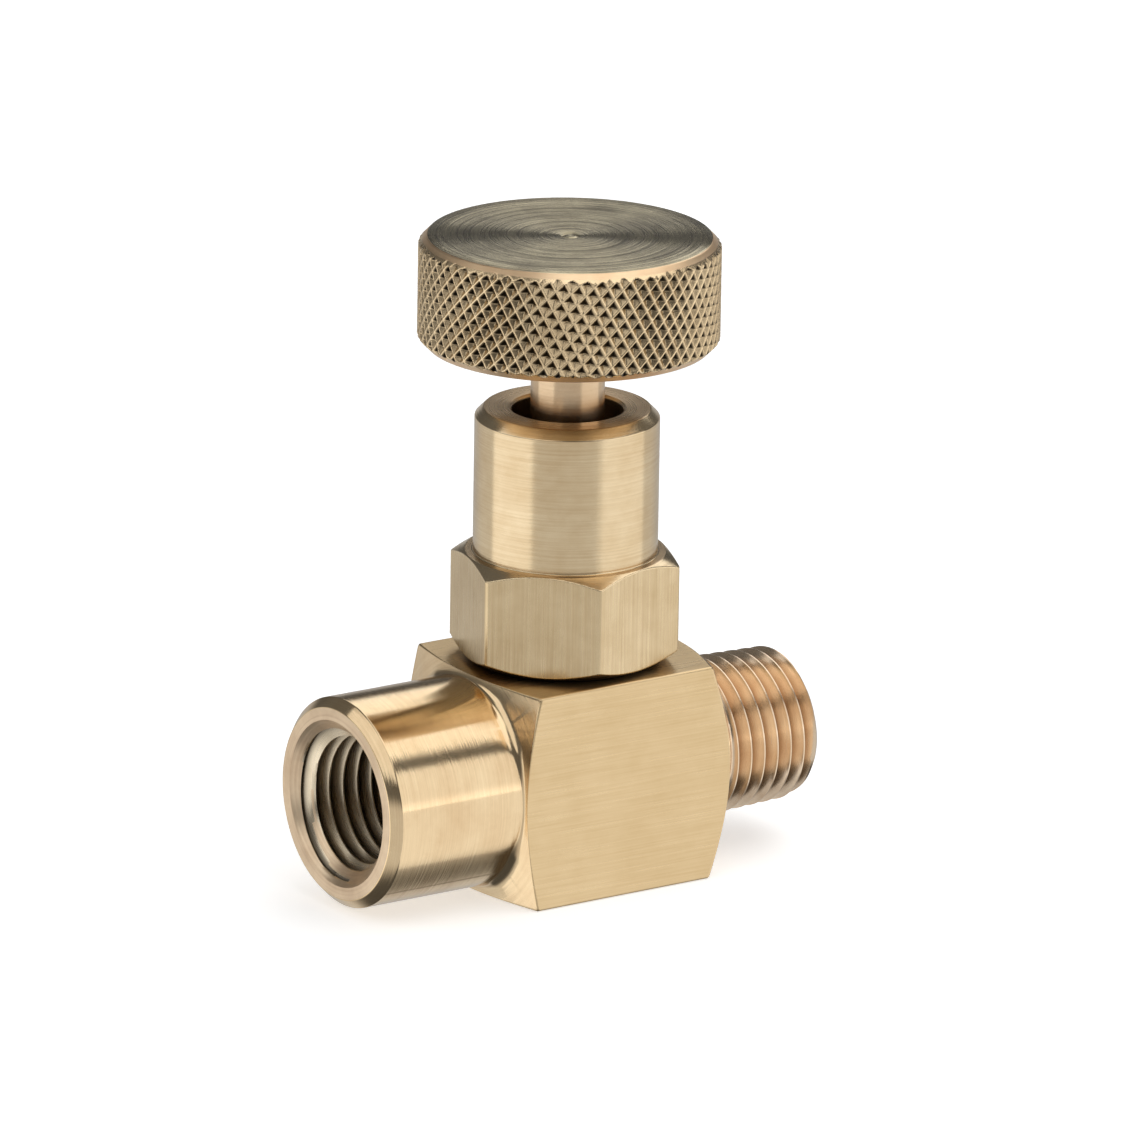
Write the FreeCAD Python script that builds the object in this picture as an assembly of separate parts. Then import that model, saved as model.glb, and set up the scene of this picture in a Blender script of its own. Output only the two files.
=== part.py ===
import FreeCAD, Part
import math
import os

from FreeCAD import Vector

# Needle valve in brass bar stock: female taper pipe thread in, male taper pipe thread out.
# Millimetres. X is the flow axis (+X leaves the valve), Z is the stem axis, the bar rests on z = 0.

INCH = 25.4

# Body, turned from square bar
BAR_WIDTH = 0.75 * INCH
BAR_EDGE_BREAK = 0.2
INLET_REACH = 23.2
OUTLET_REACH = 22.7
INLET_SHOULDER = 9.95
INLET_SHOULDER_ANGLE = 18.2
OUTLET_SHOULDER = 11.0
OUTLET_SHOULDER_ANGLE = 26.6
OUTLET_SHOULDER_STEP = 0.5
BOSS_TURNING_CUT = 0.38
BOSS_END_CHAMFER = INCH / 32
BOSS_ROOT_RADIUS = 0.8

# Taper pipe thread, size 1/4-18
PIPE_PITCH = INCH / 18
PIPE_TAPER = 1 / 16
PIPE_END_PITCH_DIAMETER = 0.47739 * INCH
PIPE_MOUTH_PITCH_DIAMETER = 0.49163 * INCH
PIPE_THREAD_HEIGHT = 0.8 * PIPE_PITCH
PIPE_ROOT_SHARE = 0.035
PIPE_CREST_TRIM = 0.08
PIPE_FLANK_ANGLE = 30.0
PIPE_END_CHAMFER = 0.7
OUTLET_COLLAR = 1.6
INLET_THREAD_DEPTH = 10.3
INLET_BORE_DEPTH = 14.0
INLET_MOUTH_DIAMETER = 14.5

# Flow passages and seat
OUTLET_BORE_DIAMETER = 7.0
OUTLET_BORE_DEPTH = 13.5
PASSAGE_DIAMETER = 9 / 64 * INCH
PASSAGE_EDGE_GAP = 0.2
PASSAGE_OVERRUN = 1.8
SEAT_BELOW_FLOW_AXIS = 0.225
SEAT_BORE_DIAMETER = 0.125 * INCH
CHAMBER_DIAMETER = 9.6

# Bonnet
SHANK_DIAMETER = 13.36
SHANK_LENGTH = 6.15
SHANK_CLEARANCE = 0.03
SHANK_CHAMFER = 0.5
HEX_ACROSS_FLATS = 11 / 16 * INCH
HEX_HEIGHT = 0.375 * INCH
HEX_CORNER_TURN = 13.9
HEX_CORNER_CUT = 0.1
HEX_CHAMFER_ANGLE = 30.0
HEX_WASHER_DIAMETER = 15.6
HEX_TOP_DIAMETER = 17.2
BARREL_DIAMETER = 0.625 * INCH
BARREL_LENGTH = 0.5 * INCH
BARREL_TOP_CHAMFER = INCH / 32
BONNET_TOP_BORE_DIAMETER = 0.375 * INCH
BONNET_TOP_BORE_DEPTH = 3.0
BONNET_TOP_BORE_BREAK = 0.25
BACK_SEAT_GAP = 0.1
SEAL_RING_THICKNESS = 0.8
SEAL_RING_GAP = 0.02

# Stem
STEM_ROD_DIAMETER = 0.25 * INCH
STEM_GAP_UNDER_KNOB = 5.63
STEM_THREAD_DIAMETER = 7.2
STEM_THREAD_LEAD = INCH / 24
STEM_THREAD_CLEARANCE = 0.05
STEM_TURNS = 3
STEM_RELIEF_DIAMETER = 6.2
STEM_RELIEF_LENGTH = 1.0
STEM_TOP_CHAMFER = 0.4
STEM_FLAT_DEPTH = 0.6
STEM_FLAT_HEIGHT = 5.0
PISTON_DIAMETER = 8.8
PISTON_CLEARANCE = 0.05
PISTON_OVERHANG = 0.3
PISTON_LOWER_LAND = 3.4
PISTON_UPPER_LAND = 0.8

# Stem seals
O_RING_SECTION = 1.44
BACKUP_RING_THICKNESS = 1.05
SEAL_AXIAL_GAP = 0.12
SEAL_RADIAL_GAP = 0.03

# Swivelling needle tip and its retainer
TIP_SOCKET_DIAMETER = 5.2
TIP_SOCKET_DEPTH = 2.7
TIP_HEAD_DIAMETER = 4.7
TIP_NECK_DIAMETER = 3.2
TIP_BODY_DIAMETER = 4.4
TIP_CONE_ANGLE = 20.0
TIP_NOSE_DIAMETER = 0.9
TIP_CLEARANCE = 0.1
TIP_THRUST_GAP = 0.03
TIP_DOME_HEIGHT = 0.5
SEAT_GAP = 0.02
RETAINER_THICKNESS = 1.0

# Knob and its set screw
KNOB_DIAMETER = 25.9
KNOB_HEIGHT = 0.375 * INCH
KNOB_CHAMFER = INCH / 32
KNOB_WEB = 2.3
KNOB_BORE_CLEARANCE = 0.025
SCREW_DIAMETER = 4.0
SCREW_LENGTH = 6.0
SCREW_CLEARANCE = 0.02
SCREW_SOCKET_FLATS = 2.0
SCREW_SOCKET_DEPTH = 2.2
SCREW_POINT_CHAMFER = 0.5

# Places along X
FLOW_Z = BAR_WIDTH / 2
BOSS_RADIUS = BAR_WIDTH / 2 - BOSS_TURNING_CUT
INLET_THREAD_END_X = -INLET_REACH + INLET_THREAD_DEPTH
INLET_BORE_END_X = -INLET_REACH + INLET_BORE_DEPTH
OUTLET_BORE_END_X = OUTLET_REACH - OUTLET_BORE_DEPTH
OUTLET_FACE_RADIUS = BAR_WIDTH / 2 - OUTLET_SHOULDER_STEP
OUTLET_FACE_X = OUTLET_SHOULDER + OUTLET_SHOULDER_STEP * math.tan(math.radians(OUTLET_SHOULDER_ANGLE))

# Radii of the taper threads
PIPE_END_RADIUS = (PIPE_END_PITCH_DIAMETER + PIPE_THREAD_HEIGHT) / 2
COLLAR_END_X = OUTLET_FACE_X + OUTLET_COLLAR
COLLAR_RADIUS = PIPE_END_RADIUS + (OUTLET_REACH - COLLAR_END_X) * PIPE_TAPER / 2
MOUTH_CREST_RADIUS = (PIPE_MOUTH_PITCH_DIAMETER - PIPE_THREAD_HEIGHT) / 2
INLET_BORE_RADIUS = MOUTH_CREST_RADIUS - INLET_THREAD_DEPTH * PIPE_TAPER / 2

# Heights of the stack above the seat, valve closed
SEAT_Z = FLOW_Z - SEAT_BELOW_FLOW_AXIS
INLET_PASSAGE_Z = FLOW_Z - INLET_BORE_RADIUS + PASSAGE_DIAMETER / 2 + PASSAGE_EDGE_GAP
OUTLET_PASSAGE_Z = FLOW_Z + OUTLET_BORE_DIAMETER / 2 - PASSAGE_DIAMETER / 2 - PASSAGE_EDGE_GAP
SHANK_BOTTOM_Z = BAR_WIDTH - SHANK_LENGTH
SEAL_LEDGE_Z = SHANK_BOTTOM_Z - SEAL_RING_THICKNESS
HEX_TOP_Z = BAR_WIDTH + HEX_HEIGHT
BONNET_TOP_Z = HEX_TOP_Z + BARREL_LENGTH
TOP_BORE_FLOOR_Z = BONNET_TOP_Z - BONNET_TOP_BORE_DEPTH
STEM_LIFT = STEM_TURNS * STEM_THREAD_LEAD
PISTON_BOTTOM_Z = SHANK_BOTTOM_Z - PISTON_OVERHANG
SEAL_GROOVE_DIAMETER = PISTON_DIAMETER + 2 * (PISTON_CLEARANCE - O_RING_SECTION - 2 * SEAL_RADIAL_GAP)
SEAL_GROOVE_HEIGHT = O_RING_SECTION + 2 * BACKUP_RING_THICKNESS + 4 * SEAL_AXIAL_GAP
SEAL_GROOVE_Z = PISTON_BOTTOM_Z + PISTON_LOWER_LAND
PISTON_TOP_Z = SEAL_GROOVE_Z + SEAL_GROOVE_HEIGHT + PISTON_UPPER_LAND
BACK_SEAT_Z = PISTON_TOP_Z + STEM_LIFT + BACK_SEAT_GAP
STEM_THREAD_Z = PISTON_TOP_Z + STEM_RELIEF_LENGTH
STEM_THREAD_TOP_Z = TOP_BORE_FLOOR_Z - STEM_LIFT - BACK_SEAT_GAP
KNOB_Z = BONNET_TOP_Z + STEM_GAP_UNDER_KNOB
KNOB_TOP_Z = KNOB_Z + KNOB_HEIGHT
STEM_TOP_Z = KNOB_TOP_Z - KNOB_WEB
SCREW_Z = KNOB_Z + KNOB_HEIGHT / 2
RETAINER_TOP_Z = PISTON_BOTTOM_Z + RETAINER_THICKNESS
SOCKET_TOP_Z = PISTON_BOTTOM_Z + TIP_SOCKET_DEPTH

Z_AXIS = Vector(0, 0, 1)
X_AXIS = Vector(1, 0, 0)
Y_AXIS = Vector(0, 1, 0)
FULL_TURN = 360.0
CUT_OVERRUN = 1.0
GROOVE_OVERRUN = 0.5
GROOVE_START_TURN = 70.0
GROOVE_LEAD_IN = 1.2


def tan_deg(angle):
    """Tangent of an angle in degrees."""
    return math.tan(math.radians(angle))


def revolve_about_z(outline):
    """Solid of revolution about the stem axis from (radius, z) points."""
    points = [Vector(radius, 0, z) for radius, z in outline]
    face = Part.Face(Part.makePolygon(points + [points[0]]))
    return face.revolve(Vector(0, 0, 0), Z_AXIS, FULL_TURN)


def revolve_about_flow(wire):
    """Solid of revolution about the flow axis from a closed wire in the XZ plane."""
    return Part.Face(wire).revolve(Vector(0, 0, FLOW_Z), X_AXIS, FULL_TURN)


def round_along_z(radius, bottom, top):
    """Cylinder on the stem axis between two heights."""
    return Part.makeCylinder(radius, top - bottom, Vector(0, 0, bottom), Z_AXIS)


def round_along_x(radius, start, end, z):
    """Cylinder along X at y = 0 between two X places."""
    return Part.makeCylinder(radius, end - start, Vector(start, 0, z), X_AXIS)


def ring(inner, outer, bottom, top):
    """Flat ring on the stem axis."""
    return round_along_z(outer, bottom, top).cut(round_along_z(inner, bottom, top))


def body_outline():
    """Closed wire of the turned outline of the body, in the XZ plane above the flow axis."""
    corner = BAR_WIDTH / math.sqrt(2) + CUT_OVERRUN
    flats = BAR_WIDTH / 2
    inlet_slope = tan_deg(INLET_SHOULDER_ANGLE)
    outlet_slope = tan_deg(OUTLET_SHOULDER_ANGLE)

    # The root radius runs into the boss and into the sloping shoulder.
    turn = math.radians(90 - INLET_SHOULDER_ANGLE)
    root_reach = BOSS_ROOT_RADIUS * math.tan(turn / 2)
    root_x = -INLET_SHOULDER - (flats - BOSS_RADIUS) * inlet_slope
    shoulder_run = (math.sin(math.radians(INLET_SHOULDER_ANGLE)), math.cos(math.radians(INLET_SHOULDER_ANGLE)))
    root_start = (root_x - root_reach, BOSS_RADIUS)
    root_end = (root_x + root_reach * shoulder_run[0], BOSS_RADIUS + root_reach * shoulder_run[1])
    centre = (root_start[0], BOSS_RADIUS + BOSS_ROOT_RADIUS)
    half = -math.pi / 2 + turn / 2
    root_middle = (centre[0] + BOSS_ROOT_RADIUS * math.cos(half), centre[1] + BOSS_ROOT_RADIUS * math.sin(half))

    before = [(-INLET_REACH, 0), (-INLET_REACH, BOSS_RADIUS - BOSS_END_CHAMFER)]
    before += [(-INLET_REACH + BOSS_END_CHAMFER, BOSS_RADIUS), root_start]
    after = [root_end, (-INLET_SHOULDER + (corner - flats) * inlet_slope, corner)]
    after += [(OUTLET_SHOULDER - (corner - flats) * outlet_slope, corner)]
    after += [(OUTLET_FACE_X, OUTLET_FACE_RADIUS), (OUTLET_FACE_X, COLLAR_RADIUS)]
    after += [(COLLAR_END_X, COLLAR_RADIUS), (COLLAR_END_X, 0), before[0]]

    edges = Part.makePolygon([above_flow_axis(p) for p in before]).Edges
    arc = Part.Arc(above_flow_axis(root_start), above_flow_axis(root_middle), above_flow_axis(root_end))
    edges += [arc.toShape()]
    edges += Part.makePolygon([above_flow_axis(p) for p in after]).Edges
    return Part.Wire(edges)


def above_flow_axis(point):
    """Point of the XZ plane from a place along X and a radius about the flow axis."""
    return Vector(point[0], 0, FLOW_Z + point[1])


def taper_thread_groove(root_radius, length, outward):
    """Helical groove about +Z whose radius grows with the pipe taper; outward is 1 if it opens away from the axis."""
    half_angle = math.degrees(math.atan(PIPE_TAPER / 2))
    helix = Part.makeHelix(PIPE_PITCH, length, root_radius, half_angle)
    root = PIPE_ROOT_SHARE * PIPE_PITCH / 2
    flank = PIPE_THREAD_HEIGHT - PIPE_CREST_TRIM
    crest = root + flank * tan_deg(PIPE_FLANK_ANGLE)
    steps = [(0, root), (flank, crest), (flank + GROOVE_OVERRUN, crest)]
    points = [Vector(root_radius + outward * rise, 0, half) for rise, half in steps]
    points += [Vector(root_radius + outward * rise, 0, -half) for rise, half in reversed(steps)]
    section = Part.makePolygon(points + [points[0]])
    return Part.Wire(helix.Edges).makePipeShell([section], True, True)


def lay_towards_inlet(shape, x):
    """Turn a shape made about +Z so that it runs towards -X from a place on the flow axis."""
    shape.rotate(Vector(0, 0, 0), Y_AXIS, -90)
    shape.translate(Vector(x, 0, FLOW_Z))
    return shape


def outlet_spigot():
    """Taper spigot with its male thread, from the outlet face to the plain collar at the shoulder."""
    length = OUTLET_REACH - COLLAR_END_X
    outline = [(0, 0), (PIPE_END_RADIUS - PIPE_END_CHAMFER, 0)]
    outline += [(PIPE_END_RADIUS + PIPE_END_CHAMFER * PIPE_TAPER / 2, PIPE_END_CHAMFER)]
    outline += [(COLLAR_RADIUS, length), (0, length)]
    root_radius = PIPE_END_RADIUS - PIPE_THREAD_HEIGHT - GROOVE_LEAD_IN * PIPE_TAPER / 2
    groove = taper_thread_groove(root_radius, length + 2 * GROOVE_LEAD_IN, 1)
    groove.rotate(Vector(0, 0, 0), Z_AXIS, GROOVE_START_TURN)
    groove.translate(Vector(0, 0, -GROOVE_LEAD_IN))
    return lay_towards_inlet(revolve_about_z(outline).cut(groove), OUTLET_REACH)


def cut_inlet_thread(body):
    """Cut the female thread, from the end of the reamed taper out past the mouth."""
    root_radius = INLET_BORE_RADIUS + PIPE_THREAD_HEIGHT
    groove = taper_thread_groove(root_radius, INLET_THREAD_DEPTH + PIPE_PITCH, -1)
    return body.cut(lay_towards_inlet(groove, INLET_THREAD_END_X))


def inlet_bore():
    """Mouth chamfer, reamed taper and plain drilled end of the inlet port."""
    mouth_radius = INLET_MOUTH_DIAMETER / 2
    mouth_depth = mouth_radius - MOUTH_CREST_RADIUS
    points = [(-INLET_REACH, 0), (-INLET_REACH, mouth_radius)]
    points += [(-INLET_REACH + mouth_depth, MOUTH_CREST_RADIUS - mouth_depth * PIPE_TAPER / 2)]
    points += [(INLET_THREAD_END_X, INLET_BORE_RADIUS), (INLET_BORE_END_X, INLET_BORE_RADIUS)]
    points += [(INLET_BORE_END_X, 0), (-INLET_REACH, 0)]
    return revolve_about_flow(Part.makePolygon([above_flow_axis(p) for p in points]))


def flow_passages():
    """Outlet bore, two offset drillings and the vertical seat bore between them."""
    outlet = round_along_x(OUTLET_BORE_DIAMETER / 2, OUTLET_BORE_END_X, OUTLET_REACH + CUT_OVERRUN, FLOW_Z)
    low = round_along_x(PASSAGE_DIAMETER / 2, INLET_BORE_END_X, PASSAGE_OVERRUN, INLET_PASSAGE_Z)
    high = round_along_x(PASSAGE_DIAMETER / 2, PASSAGE_OVERRUN, OUTLET_BORE_END_X, OUTLET_PASSAGE_Z)
    seat = round_along_z(SEAT_BORE_DIAMETER / 2, INLET_PASSAGE_Z, SEAT_Z)
    return [outlet, low, high, seat]


def bonnet_port():
    """Chamber above the seat, ledge for the seal ring and bore for the bonnet shank."""
    shank = SHANK_DIAMETER / 2 + SHANK_CLEARANCE
    chamber = CHAMBER_DIAMETER / 2
    outline = [(0, SEAT_Z), (chamber, SEAT_Z), (chamber, SEAL_LEDGE_Z), (shank, SEAL_LEDGE_Z)]
    outline += [(shank, BAR_WIDTH - SHANK_CHAMFER), (shank + SHANK_CHAMFER, BAR_WIDTH), (0, BAR_WIDTH)]
    return revolve_about_z(outline)


def valve_body():
    """Square bar with turned ends, both pipe threads, the passages and the bonnet port."""
    length = INLET_REACH + OUTLET_REACH
    corner = Vector(-INLET_REACH, -BAR_WIDTH / 2, 0)
    bar = Part.makeBox(length, BAR_WIDTH, BAR_WIDTH, corner)
    long_edges = [e for e in bar.Edges if abs(e.Length - length) < 1e-6]
    bar = bar.makeChamfer(BAR_EDGE_BREAK, long_edges)
    body = bar.common(revolve_about_flow(body_outline())).fuse(outlet_spigot())
    for tool in [inlet_bore(), bonnet_port()] + flow_passages():
        body = body.cut(tool)
    return cut_inlet_thread(body)


def hexagon():
    """Chamfered hexagon of the bonnet."""
    across_corners = HEX_ACROSS_FLATS / math.cos(math.radians(30))
    turns = [math.radians(HEX_CORNER_TURN + 60 * k) for k in range(7)]
    points = [Vector(across_corners / 2 * math.cos(t), across_corners / 2 * math.sin(t), BAR_WIDTH) for t in turns]
    prism = Part.Face(Part.makePolygon(points)).extrude(Vector(0, 0, HEX_HEIGHT))
    limit = across_corners / 2 - HEX_CORNER_CUT
    washer = HEX_WASHER_DIAMETER / 2
    top = HEX_TOP_DIAMETER / 2
    slope = tan_deg(HEX_CHAMFER_ANGLE)
    outline = [(0, BAR_WIDTH), (washer, BAR_WIDTH), (limit, BAR_WIDTH + (limit - washer) * slope)]
    outline += [(limit, HEX_TOP_Z - (limit - top) * slope), (top, HEX_TOP_Z), (0, HEX_TOP_Z)]
    return prism.common(revolve_about_z(outline))


def bonnet():
    """Shank, hexagon and barrel, bored for the stem piston, the stem thread and the rod."""
    shank = SHANK_DIAMETER / 2
    barrel = BARREL_DIAMETER / 2
    outline = [(0, SHANK_BOTTOM_Z), (shank - SHANK_CHAMFER, SHANK_BOTTOM_Z)]
    outline += [(shank, SHANK_BOTTOM_Z + SHANK_CHAMFER), (shank, HEX_TOP_Z - HEX_HEIGHT / 2)]
    outline += [(barrel, HEX_TOP_Z - HEX_HEIGHT / 2), (barrel, BONNET_TOP_Z - BARREL_TOP_CHAMFER)]
    outline += [(barrel - BARREL_TOP_CHAMFER, BONNET_TOP_Z), (0, BONNET_TOP_Z)]
    solid = revolve_about_z(outline).fuse(hexagon()).removeSplitter()

    piston = PISTON_DIAMETER / 2 + PISTON_CLEARANCE
    thread = STEM_THREAD_DIAMETER / 2 + STEM_THREAD_CLEARANCE
    top = BONNET_TOP_BORE_DIAMETER / 2
    bore = [(0, SHANK_BOTTOM_Z), (piston, SHANK_BOTTOM_Z), (piston, BACK_SEAT_Z), (thread, BACK_SEAT_Z)]
    bore += [(thread, TOP_BORE_FLOOR_Z), (top, TOP_BORE_FLOOR_Z), (top, BONNET_TOP_Z - BONNET_TOP_BORE_BREAK)]
    bore += [(top + BONNET_TOP_BORE_BREAK, BONNET_TOP_Z), (0, BONNET_TOP_Z)]
    return solid.cut(revolve_about_z(bore))


def bonnet_seal_ring():
    """Flat ring squeezed between the bonnet shank and the ledge in the body."""
    inner = CHAMBER_DIAMETER / 2
    outer = SHANK_DIAMETER / 2 - SHANK_CHAMFER
    return ring(inner, outer, SEAL_LEDGE_Z + SEAL_RING_GAP, SHANK_BOTTOM_Z - SEAL_RING_GAP)


def stem():
    """Rod, thread, grooved piston and the socket that holds the needle tip."""
    rod = STEM_ROD_DIAMETER / 2
    thread = STEM_THREAD_DIAMETER / 2
    relief = STEM_RELIEF_DIAMETER / 2
    piston = PISTON_DIAMETER / 2
    groove = SEAL_GROOVE_DIAMETER / 2
    socket = TIP_SOCKET_DIAMETER / 2
    outline = [(0, SOCKET_TOP_Z), (socket, SOCKET_TOP_Z), (socket, PISTON_BOTTOM_Z), (piston, PISTON_BOTTOM_Z)]
    outline += [(piston, SEAL_GROOVE_Z), (groove, SEAL_GROOVE_Z)]
    outline += [(groove, SEAL_GROOVE_Z + SEAL_GROOVE_HEIGHT), (piston, SEAL_GROOVE_Z + SEAL_GROOVE_HEIGHT)]
    outline += [(piston, PISTON_TOP_Z), (relief, PISTON_TOP_Z), (relief, STEM_THREAD_Z), (thread, STEM_THREAD_Z)]
    outline += [(thread, STEM_THREAD_TOP_Z), (rod, STEM_THREAD_TOP_Z), (rod, STEM_TOP_Z - STEM_TOP_CHAMFER)]
    outline += [(rod - STEM_TOP_CHAMFER, STEM_TOP_Z), (0, STEM_TOP_Z)]
    corner = Vector(-rod, rod - STEM_FLAT_DEPTH, SCREW_Z - STEM_FLAT_HEIGHT / 2)
    flat = Part.makeBox(2 * rod, rod, STEM_FLAT_HEIGHT, corner)
    return revolve_about_z(outline).cut(flat)


def stem_o_ring():
    """Ring of round section in the middle of the seal groove."""
    inner = SEAL_GROOVE_DIAMETER / 2 + SEAL_RADIAL_GAP
    centre = inner + O_RING_SECTION / 2 - SEAL_RADIAL_GAP
    section = O_RING_SECTION / 2 - SEAL_RADIAL_GAP
    z = SEAL_GROOVE_Z + SEAL_GROOVE_HEIGHT / 2
    return Part.makeTorus(centre, section, Vector(0, 0, z), Z_AXIS)


def backup_ring(bottom):
    """Flat ring that keeps the round ring from squeezing out of the groove."""
    inner = SEAL_GROOVE_DIAMETER / 2 + SEAL_RADIAL_GAP
    outer = PISTON_DIAMETER / 2 + PISTON_CLEARANCE - SEAL_RADIAL_GAP
    return ring(inner, outer, bottom, bottom + BACKUP_RING_THICKNESS)


def needle_tip():
    """Coned plug that closes the seat, with a neck and a domed head held in the stem."""
    body = TIP_BODY_DIAMETER / 2
    neck = TIP_NECK_DIAMETER / 2
    head = TIP_HEAD_DIAMETER / 2
    nose = TIP_NOSE_DIAMETER / 2
    slope = tan_deg(TIP_CONE_ANGLE)
    at_seat = SEAT_BORE_DIAMETER / 2 - SEAT_GAP
    nose_z = SEAT_Z - (at_seat - nose) / slope
    cone_top_z = SEAT_Z + (body - at_seat) / slope
    body_top_z = PISTON_BOTTOM_Z - TIP_CLEARANCE
    head_z = RETAINER_TOP_Z + TIP_CLEARANCE
    head_top_z = SOCKET_TOP_Z - TIP_THRUST_GAP
    outline = [(0, nose_z), (nose, nose_z), (body, cone_top_z), (body, body_top_z), (neck, body_top_z)]
    outline += [(neck, head_z), (head, head_z), (head, head_top_z - TIP_DOME_HEIGHT)]
    outline += [(head / 2, head_top_z), (0, head_top_z)]
    return revolve_about_z(outline)


def tip_retainer():
    """Collar pressed into the stem socket below the head of the needle tip."""
    inner = TIP_NECK_DIAMETER / 2 + TIP_CLEARANCE
    return ring(inner, TIP_SOCKET_DIAMETER / 2, PISTON_BOTTOM_Z, RETAINER_TOP_Z)


def screw_blank(radius, start, end):
    """Cylinder along +Y at the height of the set screw."""
    return Part.makeCylinder(radius, end - start, Vector(0, start, SCREW_Z), Y_AXIS)


def knob():
    """Round knob with a blind bore for the rod and a cross hole for the set screw."""
    rim = KNOB_DIAMETER / 2
    bore = STEM_ROD_DIAMETER / 2 + KNOB_BORE_CLEARANCE
    outline = [(bore, KNOB_Z), (rim - KNOB_CHAMFER, KNOB_Z), (rim, KNOB_Z + KNOB_CHAMFER)]
    outline += [(rim, KNOB_TOP_Z - KNOB_CHAMFER), (rim - KNOB_CHAMFER, KNOB_TOP_Z), (0, KNOB_TOP_Z)]
    outline += [(0, STEM_TOP_Z), (bore, STEM_TOP_Z)]
    hole = screw_blank(SCREW_DIAMETER / 2 + SCREW_CLEARANCE, 0, rim + CUT_OVERRUN)
    return revolve_about_z(outline).cut(hole)


def knob_set_screw():
    """Socket set screw that bears on the flat of the stem."""
    radius = SCREW_DIAMETER / 2
    start = STEM_ROD_DIAMETER / 2 - STEM_FLAT_DEPTH
    end = start + SCREW_LENGTH
    blank = screw_blank(radius, start, end)
    ends = [e for e in blank.Edges if e.BoundBox.YLength < 1e-6]
    blank = blank.makeChamfer(SCREW_POINT_CHAMFER, ends)
    circle = SCREW_SOCKET_FLATS / 2 / math.cos(math.radians(30))
    turns = [math.radians(60 * k) for k in range(7)]
    points = [Vector(circle * math.cos(t), end - SCREW_SOCKET_DEPTH, SCREW_Z + circle * math.sin(t)) for t in turns]
    socket = Part.Face(Part.makePolygon(points)).extrude(Vector(0, SCREW_SOCKET_DEPTH, 0))
    return blank.cut(socket)


def sub_parts():
    """Every piece of the valve by name."""
    lower = SEAL_GROOVE_Z + SEAL_AXIAL_GAP
    upper = SEAL_GROOVE_Z + SEAL_GROOVE_HEIGHT - SEAL_AXIAL_GAP - BACKUP_RING_THICKNESS
    return {
        "valve_body": valve_body(),
        "bonnet": bonnet(),
        "bonnet_seal_ring": bonnet_seal_ring(),
        "stem": stem(),
        "needle_tip": needle_tip(),
        "tip_retainer": tip_retainer(),
        "stem_o_ring": stem_o_ring(),
        "backup_ring_lower": backup_ring(lower),
        "backup_ring_upper": backup_ring(upper),
        "knob": knob(),
        "knob_set_screw": knob_set_screw(),
    }


def single_solid(name, shape):
    """The one valid solid of a piece, or an error that names the piece."""
    solids = shape.Solids
    if len(solids) != 1 or not solids[0].isValid() or solids[0].Volume <= 0:
        raise ValueError(f"{name} isn't one valid solid")
    return solids[0]


os.makedirs("parts", exist_ok=True)
for part_name, part_shape in sub_parts().items():
    solid = single_solid(part_name, part_shape)
    solid.exportStep(f"parts/{part_name}.step")
    print(f"{part_name}: {solid.Volume:.2f} mm3")
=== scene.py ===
"""Looks of a small brass needle valve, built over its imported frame.

The body, bonnet, stem and knob are skins of rows of points, turned about the flow axis or the stem axis.
Everything is in metres, in the frame's own axes: X is the flow axis and Z is the stem axis.
"""
import logging
import math
from dataclasses import dataclass, field
from enum import Enum

import bmesh
import bpy
import numpy as np
from mathutils import Matrix, Vector


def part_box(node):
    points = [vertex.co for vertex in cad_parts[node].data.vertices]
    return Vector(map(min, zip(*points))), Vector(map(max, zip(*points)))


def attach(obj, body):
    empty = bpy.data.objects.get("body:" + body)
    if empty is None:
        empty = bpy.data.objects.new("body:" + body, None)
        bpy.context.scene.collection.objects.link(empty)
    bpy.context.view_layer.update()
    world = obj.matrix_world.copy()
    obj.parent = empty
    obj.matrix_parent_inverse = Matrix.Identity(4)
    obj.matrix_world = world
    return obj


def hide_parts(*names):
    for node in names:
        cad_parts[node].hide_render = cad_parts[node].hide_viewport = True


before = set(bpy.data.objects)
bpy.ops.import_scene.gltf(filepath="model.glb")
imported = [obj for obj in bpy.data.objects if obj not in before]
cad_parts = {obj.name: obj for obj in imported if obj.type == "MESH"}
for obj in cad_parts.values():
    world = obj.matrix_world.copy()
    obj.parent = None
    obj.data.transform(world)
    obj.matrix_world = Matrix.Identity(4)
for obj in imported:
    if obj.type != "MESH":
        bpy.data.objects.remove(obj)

MM = 0.001
INCH = 0.0254

# Most of a noise's values lie between the first two; a tool mark runs for MARK_LENGTH pitches.
NOISE_LOW = 0.3
NOISE_HIGH = 0.7
MARK_LENGTH = 60
STAIN_SIZE = 4 * MM
# Points closer than this are one point.
WELD_DISTANCE = 2e-7

log = logging.getLogger("needle_valve")


# ---------------------------------------------------------------- colour and nodes


def srgb(code: str) -> tuple[float, float, float, float]:
    """Turn an sRGB hex colour into a linear one.

    Args:
        code: six hex digits with a leading hash.

    Returns:
        Linear red, green, blue and an alpha of 1.
    """
    parts = [int(code[k:k + 2], 16) / 255 for k in (1, 3, 5)]
    linear = [c / 12.92 if c <= 0.04045 else ((c + 0.055) / 1.055) ** 2.4 for c in parts]
    return (*linear, 1.0)


def add(tree: bpy.types.NodeTree, kind: str, settings: dict | None = None, **links: object) -> bpy.types.Node:
    """Add a node with its settings, values and links.

    Args:
        tree: the node tree it goes in.
        kind: the node's type name.
        settings: attributes of the node, such as its operation.
        links: input name, or in_ and its number, to a value or another node's output.

    Returns:
        The new node.
    """
    node = tree.nodes.new(kind)
    for name, value in (settings or {}).items():
        setattr(node, name, value)
    for name, value in links.items():
        key = int(name[3:]) if name.startswith("in_") else name.replace("_", " ")
        if isinstance(value, bpy.types.NodeSocket):
            tree.links.new(value, node.inputs[key])
        else:
            node.inputs[key].default_value = value
    return node


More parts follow.
